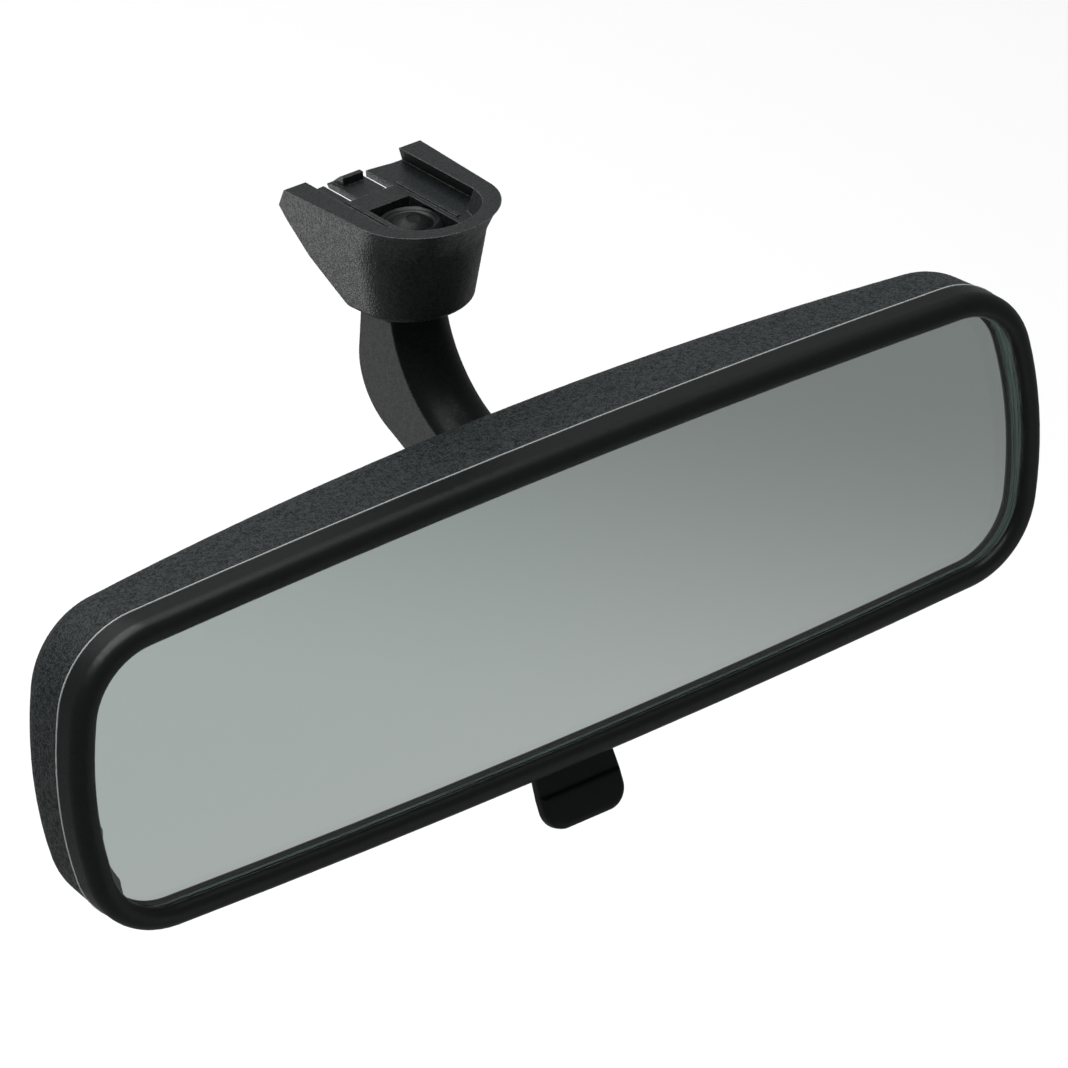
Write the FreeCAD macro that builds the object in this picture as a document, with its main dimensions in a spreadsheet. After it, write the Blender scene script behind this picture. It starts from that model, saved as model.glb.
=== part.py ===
import FreeCAD, Part
import math
import os
import re

import Sketcher

# An interior rearview mirror: a slide-on shoe, an arm with a ball at each end, and a head whose
# prism glass tilts between day and night. Millimetres, +Z up. The origin is on the plane of the
# shoe's rail tops, at the centre of its round front end. The glass faces -Y, its length is along X.

SIZES = {
    # mirror head; its own origin is the middle of the bezel's opening, on the lip's back face
    "head_y": -44.0,
    "head_z": -71.1,
    "opening_half_length": 111.0,
    "opening_half_height": 29.94,
    "top_arc_radius": 2427.0,
    "side_arc_radius": 81.5,
    "opening_corner_radius": 13.8,
    "rim_width": 4.94,
    "rim_front": -1.86,
    "rim_outer_round": 2.85,
    "rim_inner_round": 1.75,
    "parting_y": 5.0,
    "glass_recess": 1.3,
    "rebate_grow": 3.65,
    "rebate_depth": 2.0,
    "tongue_out": 3.55,
    "tongue_in": 2.6,
    "shell_wall": 1.8,
    "shell_draft": 3.0,
    "shell_depth": 28.4,
    "shell_back_radius": 850.0,
    "shell_back_round": 9.5,
    "rib_thick": 1.6,
    "arm_hole_half": 12.5,
    "arm_hole_bottom": 6.5,
    "arm_hole_top": 29.6,
    "arm_hole_front": 15.0,
    "inner_rib_x": 42.0,
    "outer_rib_x": 78.0,
    # glass and what lies behind it
    "glass_grow": 1.1,
    "glass_front": 0.08,
    "glass_top_y": 5.4,
    "glass_bottom_y": 2.9,
    "coating_thick": 0.25,
    "pad_thick": 1.2,
    "pad_inset": 2.0,
    # day and night tilt
    "flip_y": 13.0,
    "flip_z": 27.0,
    "pin_radius": 1.5,
    "knuckle_radius": 3.4,
    "pin_bore_radius": 1.56,
    "carrier_front": 10.2,
    "carrier_back": 13.2,
    "carrier_top": 22.0,
    "carrier_bottom": -20.0,
    "carrier_ear_foot": 14.0,
    "carrier_ear_in": 13.0,
    "carrier_ear_out": 16.4,
    "shell_ear_in": 17.0,
    "shell_ear_out": 20.5,
    "lever_y": 11.0,
    "lever_z": -29.5,
    "lever_ear_in": 11.6,
    "lever_ear_out": 14.6,
    "lever_ear_round": 3.2,
    "hub_radius": 2.7,
    "hub_half": 9.75,
    "crank_length": 6.0,
    "crank_angle": 20.0,
    "crank_pin_radius": 1.25,
    "crank_web_half": 1.9,
    "crank_eye_radius": 2.3,
    "crank_web_in": 6.0,
    "crank_web_out": 8.5,
    "fork_half": 5.0,
    "fork_gap": 1.4,
    "fork_prong": 1.5,
    "fork_end": -26.2,
    "fork_root": -18.0,
    "fork_throat": -21.3,
    "tab_front": 6.4,
    "tab_thick": 2.0,
    "tab_half": 8.7,
    "grip_half": 9.7,
    "grip_top": -42.6,
    "grip_end": -50.4,
    "tab_pivot_z": -35.0,
    "tab_lean": 20.0,
    "grip_corner_round": 4.6,
    "grip_edge_round": 1.3,
    "grip_thick": 3.8,
    "slot_half": 10.4,
    "slot_back": 13.6,
    "leaf_y": 14.2,
    "leaf_thick": 0.4,
    "leaf_gap": 0.2,
    "leaf_half": 19.3,
    "leaf_above": 2.0,
    "leaf_below": 2.6,
    "leaf_screw_x": 17.5,
    "leaf_screw_drop": 0.5,
    "leaf_screw_radius": 1.0,
    "leaf_screw_length": 5.5,
    "leaf_head_radius": 1.9,
    "leaf_head_height": 1.0,
    "post_in": 15.5,
    "post_out": 19.5,
    # ball joints, the same at both ends of the arm
    "ball_radius": 6.0,
    "neck_radius": 3.2,
    "neck_length": 18.0,
    "ball_mark_radius": 1.3,
    "ball_mark_depth": 0.25,
    "seat_gap": 0.06,
    "seat_wall": 0.8,
    "upper_ball_y": 4.0,
    "upper_ball_z": -10.2,
    "upper_lean": 13.7,
    "lower_ball_y": -26.5,
    "lower_ball_z": -57.8,
    "lower_lean": 65.0,
    "housing_radius": 10.0,
    "ring_start": 3.05,
    "ring_end": 5.4,
    "ring_outer": 9.5,
    "ring_inner": 6.9,
    "upper_seat_start": 50.0,
    "upper_seat_end": 119.0,
    "lower_seat_start": 54.0,
    "lower_seat_end": 132.0,
    "pad_start": 157.0,
    "pad_end": 179.9,
    "pad_wall": 0.89,
    "washer_end": 171.0,
    "washer_start_gap": 1.0,
    "washer_wall": 0.6,
    "lug_half": 14.0,
    "lug_width": 3.0,
    "lug_depth": 4.0,
    "lug_screw_x": 11.8,
    "screw_radius": 1.2,
    "screw_end": -2.8,
    "screw_bore_end": -3.0,
    "screw_head_grow": 0.9,
    "screw_head_height": 1.1,
    # arm; its own origin is the centre of the bend of its inner face
    "bend_y": -20.7,
    "bend_z": -23.6,
    "arm_half": 6.6,
    "inner_edge_radius": 24.4,
    "inner_ridge_radius": 21.0,
    "outer_bend_y": 24.1,
    "outer_bend_z": -14.5,
    "outer_bend_radius": 13.6,
    "arm_top_back_y": 35.2,
    "arm_top_back_z": -1.4,
    "arm_top_front_y": 17.0,
    "arm_top_front_z": -1.0,
    "arm_end_y": 8.0,
    "nose_tip_radius": 3.9,
    "nose_base_radius": 6.3,
    "nose_tip": 9.2,
    "nose_base": 16.4,
    # shoe: half width, start of the round front and half width at the back, at four levels
    "rail_half": 15.0,
    "rail_centre_y": -1.8,
    "rail_back_half": 16.5,
    "lip_z": -1.6,
    "lip_half": 14.7,
    "lip_centre_y": -0.5,
    "waist_z": -6.5,
    "waist_half": 14.5,
    "waist_centre_y": 2.8,
    "waist_back_half": 16.2,
    "foot_z": -22.3,
    "foot_half": 11.8,
    "foot_centre_y": 4.6,
    "foot_back_half": 13.8,
    "foot_round": 1.4,
    "rail_back_y": 22.9,
    "wall_back_y": 25.3,
    "knee_y": 18.6,
    "knee_z": -13.4,
    "foot_back_y": 8.8,
    "channel_half": 11.1,
    "channel_front_y": -13.2,
    "channel_draft": 27.0,
    "channel_depth": 4.0,
    "undercut_half": 13.2,
    "undercut_front_y": -2.8,
    "floor_thick": 1.3,
    "floor_half": 14.4,
    "floor_back_y": 26.4,
    "hollow_half": 12.6,
    "hollow_front_y": 14.5,
    "pit_half": 4.9,
    "pit_back_y": 10.8,
    "pit_front_y": -9.0,
    "floor_rib_x": 6.2,
    "floor_rib_width": 0.8,
    "floor_rib_height": 0.5,
    "bell_radius": 11.1,
    "bell_top_radius": 6.4,
    "bell_top": 4.0,
    "bell_end": 16.4,
    "tongue_half": 3.35,
    "tongue_slit": 1.7,
    "tongue_root_y": 16.7,
    "catch_half": 2.4,
    "catch_y": 23.0,
    "catch_rise": 1.8,
    "catch_crest": 1.2,
    "catch_root": 0.5,
    "tongue_root_gap": 0.12,
    "tongue_tip_drop": 0.4,
    "tongue_tip_chamfer": 0.5,
    "tongue_tip_y": 27.4,
}

doc = FreeCAD.newDocument("rearview_mirror")
sheet = doc.addObject("Spreadsheet::Sheet", "Sizes")
for row, (alias, size) in enumerate(SIZES.items(), 1):
    sheet.set(f"A{row}", alias)
    sheet.set(f"B{row}", str(size))
    sheet.setAlias(f"B{row}", alias)
scratch = doc.addObject("Spreadsheet::Sheet", "Scratch")
doc.recompute()

AXES = {"x": FreeCAD.Vector(1, 0, 0), "y": FreeCAD.Vector(0, 1, 0), "z": FreeCAD.Vector(0, 0, 1)}
WORD = re.compile(r"[a-z_]+")


def linked(text):
    """The expression with each size named as the sheet's own cell."""
    return WORD.sub(lambda m: "Sizes." + m.group() if m.group() in SIZES else m.group(), str(text))


def number(text):
    """What an expression of sizes comes to, worked out in a cell of a scratch sheet."""
    scratch.set("A1", "=" + linked(text))
    scratch.recompute()
    return float(scratch.get("A1"))


def bind(item, **expressions):
    """Set number properties of a document object to expressions of sizes."""
    for name, text in expressions.items():
        item.setExpression(name, linked(text))


def at(item, x=0, y=0, z=0):
    """Put a document object at a place given by expressions of sizes."""
    item.Placement.Base = FreeCAD.Vector(number(x), number(y), number(z))
    for name, text in (("x", x), ("y", y), ("z", z)):
        item.setExpression(f".Placement.Base.{name}", linked(text))
    return item


def moved(item, place):
    """Carry a placed object along with a frame that leans, so its place is no longer bound."""
    for name in "xyz":
        item.setExpression(f".Placement.Base.{name}", None)
    item.Placement = place.multiply(item.Placement)
    return item


# ---- primitives and booleans ----


def block(x, y, z):
    """A box between pairs of expressions."""
    item = doc.addObject("Part::Box", "Block")
    for name, (low, high) in (("Length", x), ("Width", y), ("Height", z)):
        item.setExpression(name, linked(f"({high}) - ({low})"))
    return at(item, x[0], y[0], z[0])


def pair(x, y, z):
    """Two boxes, mirrored about x = 0; x is the pair of distances from the middle."""
    return [block(x, y, z), block((f"-({x[1]})", f"-({x[0]})"), y, z)]


TURN = {
    "x": FreeCAD.Rotation(FreeCAD.Vector(0, 1, 0), 90),
    "y": FreeCAD.Rotation(FreeCAD.Vector(1, 0, 0), -90),
    "z": FreeCAD.Rotation(),
}


def rod(axis, radius, low, high, centre=(0, 0)):
    """A cylinder along an axis; centre holds the other two coordinates in order."""
    item = doc.addObject("Part::Cylinder", "Rod")
    bind(item, Radius=radius, Height=f"({high}) - ({low})")
    item.Placement = FreeCAD.Placement(FreeCAD.Vector(), TURN[axis])
    place = dict(zip([name for name in "xyz" if name != axis], centre))
    place[axis] = low
    return at(item, **place)


def cone(radius_low, radius_high, low, high):
    """A cone along Z."""
    item = doc.addObject("Part::Cone", "Cone")
    bind(item, Radius1=radius_low, Radius2=radius_high, Height=f"({high}) - ({low})")
    return at(item, z=low)


def ball(radius, x=0, y=0, z=0):
    item = doc.addObject("Part::Sphere", "Ball")
    bind(item, Radius=radius)
    return at(item, x, y, z)


def fuse(*items):
    item = doc.addObject("Part::MultiFuse", "Union")
    item.Shapes = list(items)
    item.Refine = True
    return item


def cut(base, *tools):
    item = doc.addObject("Part::Cut", "Cut")
    item.Base = base
    item.Tool = tools[0] if len(tools) == 1 else fuse(*tools)
    return item


def common(base, tool):
    item = doc.addObject("Part::Common", "Common")
    item.Base = base
    item.Tool = tool
    return item


def rounded(base, radius, wanted):
    """Round the edges of a built object that a test picks out."""
    base.recompute(True)
    size = number(radius)
    item = doc.addObject("Part::Fillet", "Rounding")
    item.Base = base
    picked = [i for i, edge in enumerate(base.Shape.Edges, 1) if wanted(edge)]
    item.Edges = [(i, size, size) for i in picked]
    return item


def level(text, tolerance=0.05):
    """A test for numbers near the value of an expression."""
    value = number(text)
    return lambda found: abs(found - value) < tolerance


# ---- sketches and bodies ----


def new_body():
    return doc.addObject("PartDesign::Body", "Body")


def new_sketch(body, plane, offset="0"):
    """A sketch on one of the body's own planes, moved along the plane's normal."""
    sketch = body.newObject("Sketcher::SketchObject", "Sketch")
    support = next(f for f in body.Origin.OriginFeatures if f.Role == plane + "_Plane")
    sketch.AttachmentSupport = (support, "")
    sketch.MapMode = "FlatFace"
    sketch.setExpression(".AttachmentOffset.Base.z", linked(offset))
    return sketch


def bound(sketch, kind, *where):
    """Add a dimension whose last argument is an expression of sizes."""
    index = sketch.addConstraint(Sketcher.Constraint(kind, *where[:-1], number(where[-1])))
    sketch.setExpression(f"Constraints[{index}]", linked(where[-1]))


def outline(sketch, corners, arcs=()):
    """A closed outline through corners given as pairs of expressions. arcs maps the number of a
    side to its radius; a positive radius bows that side to its left, seen along the outline."""
    points = [FreeCAD.Vector(number(x), number(y), 0) for x, y in corners]
    arcs = dict(arcs)
    ends = []
    for i, start in enumerate(points):
        finish = points[(i + 1) % len(points)]
        if i not in arcs:
            sketch.addGeometry(Part.LineSegment(start, finish))
            ends.append((1, 2))
            continue
        radius = number(arcs[i])
        middle = (start + finish) / 2
        chord = finish - start
        left = FreeCAD.Vector(-chord.y, chord.x, 0).normalize()
        bow = abs(radius) - math.sqrt(max(radius**2 - (chord.Length / 2) ** 2, 0))
        through = middle + left * math.copysign(bow, radius)
        sketch.addGeometry(Part.ArcOfCircle(start, through, finish))
        ends.append((2, 1) if radius > 0 else (1, 2))
    for i, (x, y) in enumerate(corners):
        after = (i + 1) % len(corners)
        sketch.addConstraint(Sketcher.Constraint("Coincident", i, ends[i][1], after, ends[after][0]))
        bound(sketch, "DistanceX", -1, 1, i, ends[i][0], x)
        bound(sketch, "DistanceY", -1, 1, i, ends[i][0], y)
    for i, radius in arcs.items():
        bound(sketch, "Radius", i, str(radius).lstrip("-"))


def barrel(sketch, grow):
    """The head's outline: four shallow arcs joined by round corners, grown outwards from the
    bezel's opening. Every arc is tangent to the next."""
    half_length = number(f"opening_half_length + ({grow})")
    half_height = number(f"opening_half_height + ({grow})")
    top = number(f"top_arc_radius + ({grow})")
    side = number(f"side_arc_radius + ({grow})")
    corner = number(f"opening_corner_radius + ({grow})")
    # The corner's centre lies on circles about the centres of the two arcs that it joins.
    top_y = half_height - top
    side_x = half_length - side
    span = math.hypot(side_x, top_y)
    along = ((top - corner) ** 2 - (side - corner) ** 2 + span**2) / (2 * span)
    across = math.sqrt((top - corner) ** 2 - along**2)
    unit_x = side_x / span
    unit_y = -top_y / span
    corner_x = along * unit_x + across * unit_y
    corner_y = top_y + along * unit_y - across * unit_x
    if corner_x < 0 or corner_y < 0:
        corner_x = along * unit_x - across * unit_y
        corner_y = top_y + along * unit_y + across * unit_x
    high = math.atan2(corner_y - top_y, corner_x)
    low = math.atan2(corner_y, corner_x - side_x)
    pi = math.pi
    arcs = (
        (0, top_y, top, high, pi - high),
        (-corner_x, corner_y, corner, pi - high, pi - low),
        (-side_x, 0, side, pi - low, pi + low),
        (-corner_x, -corner_y, corner, pi + low, pi + high),
        (0, -top_y, top, pi + high, 2 * pi - high),
        (corner_x, -corner_y, corner, 2 * pi - high, 2 * pi - low),
        (side_x, 0, side, -low, low),
        (corner_x, corner_y, corner, low, high),
    )
    for x, y, radius, start, finish in arcs:
        circle = Part.Circle(FreeCAD.Vector(x, y, 0), AXES["z"], radius)
        sketch.addGeometry(Part.ArcOfCircle(circle, start, finish))
    for i in range(8):
        sketch.addConstraint(Sketcher.Constraint("Tangent", i, 2, (i + 1) % 8, 1))
    for first, second in ((0, 4), (2, 6), (1, 3), (3, 5), (5, 7)):
        sketch.addConstraint(Sketcher.Constraint("Equal", first, second))
    for i, axis in ((0, -2), (4, -2), (2, -1), (6, -1)):
        sketch.addConstraint(Sketcher.Constraint("PointOnObject", i, 3, axis))
    bound(sketch, "Radius", 0, f"top_arc_radius + ({grow})")
    bound(sketch, "Radius", 2, f"side_arc_radius + ({grow})")
    bound(sketch, "Radius", 1, f"opening_corner_radius + ({grow})")
    for i, sign in ((0, ""), (4, "-")):
        bound(sketch, "DistanceY", -1, 1, i, 3, f"{sign}(opening_half_height - top_arc_radius)")
    for i, sign in ((6, ""), (2, "-")):
        bound(sketch, "DistanceX", -1, 1, i, 3, f"{sign}(opening_half_length - side_arc_radius)")


def extrude(body, sketch, length, kind="Pad", both=False, back=False, taper=None):
    """Pad or pocket a sketch; both spreads the length to the two sides of its plane."""
    item = body.newObject(f"PartDesign::{kind}", kind)
    item.Profile = sketch
    bind(item, Length=length)
    if both:
        item.SideType = "Symmetric"
    item.Reversed = back
    if taper:
        bind(item, TaperAngle=taper)
    return item


def spin(body, sketch, axis, kind="Revolution"):
    """A full turn of a sketch about one of its own axes, H_Axis or V_Axis."""
    item = body.newObject(f"PartDesign::{kind}", kind)
    item.Profile = sketch
    item.ReferenceAxis = (sketch, [axis])
    item.Angle = 360
    return item


def slab(grow, low, high, taper=None):
    """A plate of the head's outline between two values of y, in the head's own frame."""
    body = new_body()
    sketch = new_sketch(body, "XZ", f"-({low})")
    barrel(sketch, grow)
    extrude(body, sketch, f"({high}) - ({low})", back=True, taper=taper)
    return body


def bar(plane, corners, length, arcs=()):
    """A straight bar of a closed section, spread to both sides of one of its planes."""
    body = new_body()
    sketch = new_sketch(body, plane)
    outline(sketch, corners, arcs)
    extrude(body, sketch, length, both=True)
    return body


NODES = {}


def node(label, item):
    """Name a finished sub-part."""
    item.Label = label
    NODES[label] = item
    return item


def head_node(label, item):
    """Name a sub-part that was built in the head's own frame, and carry it to the head."""
    return node(label, at(item, 0, "head_y", "head_z"))


# ---- the shoe and its catch ----


def shoe_outline(body, half, centre_y, back_half, height):
    """The shoe's plan at one level: a round front and sides that widen towards the back."""
    sketch = new_sketch(body, "XY", height)
    back = "wall_back_y + 2"
    corners = (
        (f"-({half})", centre_y),
        (0, f"{centre_y} - {half}"),
        (half, centre_y),
        (back_half, back),
        (f"-({back_half})", back),
    )
    outline(sketch, corners, {0: f"-{half}", 1: f"-{half}"})
    return sketch


def shoe_form():
    """The outside of the shoe: drafted walls, cut off behind by two slanted planes."""
    form = new_body()
    loft = form.newObject("PartDesign::AdditiveLoft", "Loft")
    loft.Ruled = True
    loft.Profile = shoe_outline(form, "rail_half", "rail_centre_y", "rail_back_half", "0")
    loft.Sections = [
        shoe_outline(form, "lip_half", "lip_centre_y", "rail_back_half", "lip_z"),
        shoe_outline(form, "waist_half", "waist_centre_y", "waist_back_half", "waist_z"),
        shoe_outline(form, "foot_half", "foot_centre_y", "foot_back_half", "foot_z"),
    ]
    front = "-2 * rail_half"
    side = (
        (front, 0),
        ("rail_back_y", 0),
        ("wall_back_y", "-channel_depth"),
        ("knee_y", "knee_z"),
        ("foot_back_y", "foot_z"),
        (front, "foot_z"),
    )
    trimmed = common(form, bar("YZ", side, "3 * rail_half"))
    at_foot = level("foot_z")
    foot_back = number("foot_back_y - 1")
    return rounded(
        trimmed, "foot_round", lambda e: at_foot(e.BoundBox.ZMax) and e.BoundBox.YMin < foot_back
    )


def shoe_channel():
    """The channel that takes the button: open behind, undercut along its two rails."""
    past = "wall_back_y + 3"
    pocket = new_body()
    plan = new_sketch(pocket, "XY", "0.01")
    centre_y = "channel_front_y + channel_half"
    corners = (
        ("-channel_half", centre_y),
        (0, "channel_front_y"),
        ("channel_half", centre_y),
        ("channel_half", past),
        ("-channel_half", past),
    )
    outline(plan, corners, {0: "-channel_half", 1: "-channel_half"})
    extrude(pocket, plan, "channel_depth + 0.01", back=True, taper="-channel_draft")
    undercut = new_body()
    section = new_sketch(undercut, "XZ", "-undercut_front_y")
    corners = (
        ("-channel_half", 0.01),
        ("-undercut_half", "-channel_depth"),
        ("undercut_half", "-channel_depth"),
        ("channel_half", 0.01),
    )
    outline(section, corners)
    extrude(undercut, section, f"{past} - undercut_front_y", back=True)
    return [pocket, undercut]


def make_shoe():
    below = "-channel_depth - floor_thick"
    hollow = block(
        ("-hollow_half", "hollow_half"),
        ("hollow_front_y", "wall_back_y + 5"),
        ("foot_z - 1", below),
    )
    pit = block(("-pit_half", "pit_half"), ("pit_front_y", "pit_back_y"), ("upper_ball_z", "0"))
    seat = ball(SOCKET, 0, "upper_ball_y", "upper_ball_z")
    bell = socketed(cone("bell_top_radius", "bell_radius", "bell_top", "bell_end"), "upper")
    hollowed = cut(shoe_form(), *shoe_channel(), hollow, pit, seat, bell)
    floor = new_body()
    plan = new_sketch(floor, "XY", below)
    side_back = "(rail_back_y + 1.5)"
    sagitta = f"(floor_back_y - {side_back})"
    corners = (
        ("-floor_half", "hollow_front_y - 1"),
        ("floor_half", "hollow_front_y - 1"),
        ("floor_half", side_back),
        ("-floor_half", side_back),
    )
    outline(plan, corners, {2: f"-(floor_half^2 + {sagitta}^2) / (2 * {sagitta})"})
    extrude(floor, plan, "floor_thick")
    ribs = pair(
        ("floor_rib_x - floor_rib_width / 2", "floor_rib_x + floor_rib_width / 2"),
        ("upper_ball_y - ball_radius - 2", "tongue_root_y"),
        ("-channel_depth - 0.5", "-channel_depth + floor_rib_height"),
    )
    slits = block(
        ("-tongue_half - tongue_slit", "tongue_half + tongue_slit"),
        ("tongue_root_y", "wall_back_y + 5"),
        (f"{below} - 1", "-channel_depth + 1"),
    )
    return node("mount_shoe", cut(fuse(hollowed, floor, *ribs), slits))


def make_catch():
    top = "-channel_depth"
    crest = "-channel_depth + catch_rise"
    low = "-channel_depth - floor_thick"
    front = "tongue_root_y + tongue_root_gap"
    tongue = (
        (front, top),
        ("catch_y + catch_crest", top),
        ("tongue_tip_y", f"{top} - tongue_tip_drop"),
        ("tongue_tip_y", f"{low} + tongue_tip_chamfer"),
        ("tongue_tip_y - tongue_tip_chamfer", low),
        (front, low),
    )
    catch = (
        ("catch_y", f"{top} - catch_root"),
        ("catch_y", crest),
        ("catch_y + catch_crest", crest),
        ("tongue_tip_y", f"{top} - catch_root"),
    )
    solid = fuse(bar("YZ", tongue, "2 * tongue_half"), bar("YZ", catch, "2 * catch_half"))
    return node("latch_tongue", solid)


# ---- ball joints ----


def socket_place(end):
    """The place of one ball, with its own +Z along its neck, towards the arm."""
    lean = number("upper_lean") + 180 if end == "upper" else -number("lower_lean")
    centre = FreeCAD.Vector(0, number(f"{end}_ball_y"), number(f"{end}_ball_z"))
    return FreeCAD.Placement(centre, FreeCAD.Rotation(AXES["x"], lean))


def socketed(item, end):
    """Move an object that was built about a ball's centre to that ball."""
    return moved(item, socket_place(end))


def shell_zone(inner, outer, start, finish):
    """A spherical shell about the origin between two angles measured from +Z."""
    body = new_body()
    sketch = new_sketch(body, "XZ")
    a = number(inner)
    b = number(outer)
    first, last = (math.radians(90 - number(angle)) for angle in (start, finish))

    def ray(angle, radius):
        return FreeCAD.Vector(math.cos(angle) * radius, math.sin(angle) * radius, 0)

    for radius in (a, b):
        circle = Part.Circle(FreeCAD.Vector(), AXES["z"], radius)
        sketch.addGeometry(Part.ArcOfCircle(circle, last, first))
    for angle in (first, last):
        sketch.addGeometry(Part.LineSegment(ray(angle, a), ray(angle, b)))
    for arc, arc_end, line, line_end in ((0, 2, 2, 1), (1, 2, 2, 2), (0, 1, 3, 1), (1, 1, 3, 2)):
        sketch.addConstraint(Sketcher.Constraint("Coincident", arc, arc_end, line, line_end))
    for arc in (0, 1):
        sketch.addConstraint(Sketcher.Constraint("Coincident", arc, 3, -1, 1))
    bound(sketch, "Radius", 0, inner)
    bound(sketch, "Radius", 1, outer)
    for line in (2, 3):
        sketch.addConstraint(Sketcher.Constraint("PointOnObject", -1, 1, line))
    spin(body, sketch, "V_Axis")
    return body


LINER_IN = "ball_radius + seat_gap"
LINER_OUT = "ball_radius + seat_gap + seat_wall"
CUP_IN = "ball_radius + 2 * seat_gap + seat_wall"
CUP_OUT = "ball_radius + 2 * seat_gap + 2 * seat_wall"
SOCKET = "ball_radius + 3 * seat_gap + 2 * seat_wall"


def make_seats():
    """Each ball turns in a thin liner, and the liner in a cup."""
    for name, inner, outer in (("liner", LINER_IN, LINER_OUT), ("cup", CUP_IN, CUP_OUT)):
        ring = shell_zone(inner, outer, "upper_seat_start", "upper_seat_end")
        node(f"upper_ball_{name}", at(ring, 0, "upper_ball_y", "upper_ball_z"))
        bowl = shell_zone(inner, outer, "lower_seat_start", "lower_seat_end")
        node(f"lower_ball_{name}", socketed(bowl, "lower"))


def make_stud(end):
    shank = rod("z", "neck_radius", 0, "neck_length")
    stud = fuse(ball("ball_radius"), shank)
    if end == "upper":
        mark = rod("z", "ball_mark_radius", "-ball_radius - 1", "-ball_radius + ball_mark_depth")
        stud = cut(stud, mark)
    return node(f"{end}_ball_stud", socketed(stud, end))


# ---- the arm ----


def tangent_from(point, centre, radius):
    """Where a line from a point touches a circle, on the circle's right as seen from the point."""
    away = centre - point
    turn = math.asin(radius / away.Length)
    reach = math.sqrt(away.Length**2 - radius**2)
    heading = math.atan2(away.y, away.x) + turn
    return point + FreeCAD.Vector(math.cos(heading), math.sin(heading), 0) * reach


def make_arm():
    bend = FreeCAD.Vector(number("outer_bend_y"), number("outer_bend_z"), 0)
    radius = number("outer_bend_radius")
    top = FreeCAD.Vector(number("arm_top_back_y"), number("arm_top_back_z"), 0)
    touch = tangent_from(top, bend, radius)
    slope = math.radians(90 - number("lower_lean"))
    leave = bend + FreeCAD.Vector(math.sin(slope), -math.cos(slope), 0) * radius
    end_z = leave.y - (leave.x - number("arm_end_y")) * math.tan(slope)
    body = new_body()
    side = new_sketch(body, "YZ")
    outline(
        side,
        (
            ("arm_top_back_y", "arm_top_back_z"),
            (touch.x, touch.y),
            (leave.x, leave.y),
            ("arm_end_y", end_z),
            ("arm_end_y", -10),
            ("arm_top_front_y", "arm_top_front_z"),
        ),
        {1: "outer_bend_radius"},
    )
    extrude(body, side, "2 * arm_half", both=True)
    # The inner face is a ring about the bend's centre, with a rounded ridge along its middle.
    rise = "(inner_edge_radius - inner_ridge_radius)"
    face = new_sketch(body, "XY")
    outline(
        face,
        (
            ("-arm_half - 2", 0),
            ("arm_half + 2", 0),
            ("arm_half + 2", "inner_edge_radius"),
            ("arm_half", "inner_edge_radius"),
            ("-arm_half", "inner_edge_radius"),
            ("-arm_half - 2", "inner_edge_radius"),
        ),
        {3: f"(arm_half^2 + {rise}^2) / (2 * {rise})"},
    )
    spin(body, face, "H_Axis", "Groove")
    at(body, 0, "bend_y", "bend_z")
    at_side = level("arm_half")
    bend_y = number("bend_y")
    bend_z = number("bend_z")
    outside = number("inner_edge_radius + 3")

    def outer_corner(edge):
        box = edge.BoundBox
        if box.XMax - box.XMin > 0.01 or not at_side(abs(box.XMax)):
            return False
        middle = edge.valueAt((edge.FirstParameter + edge.LastParameter) / 2)
        return math.hypot(middle.y - bend_y, middle.z - bend_z) > outside

    softened = rounded(body, "1.0", outer_corner)
    noses = []
    bores = []
    for end in ("upper", "lower"):
        noses.append(socketed(cone("nose_tip_radius", "nose_base_radius", "nose_tip", "nose_base"), end))
        bores.append(socketed(rod("z", "neck_radius", "nose_tip - 1", "neck_length"), end))
    return node("arm", cut(fuse(softened, *noses), *bores))


# ---- the head's case ----


def shell_form(inset, front):
    """The back shell's outside, or with an inset its hollow: drafted sides, a back that is a
    shallow arc from end to end, and a round edge between them."""
    body = slab(f"rim_width - {inset}", front, "shell_depth + 4", "-shell_draft")
    plan = new_sketch(body, "XY")
    depth = f"shell_depth - {inset}"
    radius = f"shell_back_radius - {inset}"
    reach = "opening_half_length + 12"
    fall = f"({radius} - sqrt(({radius})^2 - ({reach})^2))"
    outline(
        plan,
        (
            (f"-({reach})", f"{depth} - {fall}"),
            (reach, f"{depth} - {fall}"),
            (reach, "shell_depth + 12"),
            (f"-({reach})", "shell_depth + 12"),
        ),
        {0: radius},
    )
    extrude(body, plan, "4 * opening_half_height", "Pocket", both=True)
    near = number("shell_depth - 14")
    far = number("shell_depth + 1")

    def back_edge(edge):
        return edge.BoundBox.YMin > near and edge.BoundBox.YMax < far

    return rounded(body, f"shell_back_round - {inset}", back_edge)


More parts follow.
